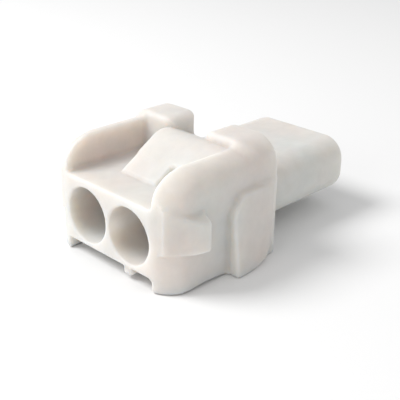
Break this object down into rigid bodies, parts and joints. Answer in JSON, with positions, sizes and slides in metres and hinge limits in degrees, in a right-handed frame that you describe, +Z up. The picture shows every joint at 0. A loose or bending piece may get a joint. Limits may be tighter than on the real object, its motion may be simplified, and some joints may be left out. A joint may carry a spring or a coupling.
{
  "type": "wire connector housing",
  "caption": "Moulded plug housing for a pair of crimped wire terminals, with side wings, a raised ramp, side locking ramps and a flat rounded mating nose.",
  "frame": {"origin": "centre of the overall length and width, on the surface the housing stands on with the lower edges of its side wings", "axes": "+X from the wire entry towards the mating tip, +Y across the ways, +Z up"},
  "size_m": [0.0298, 0.021, 0.0128],
  "materials": {
    "nylon": "satin natural nylon, slightly translucent"
  },
  "bodies": {
    "root": {"housing": "nylon"}
  },
  "joints": []
}
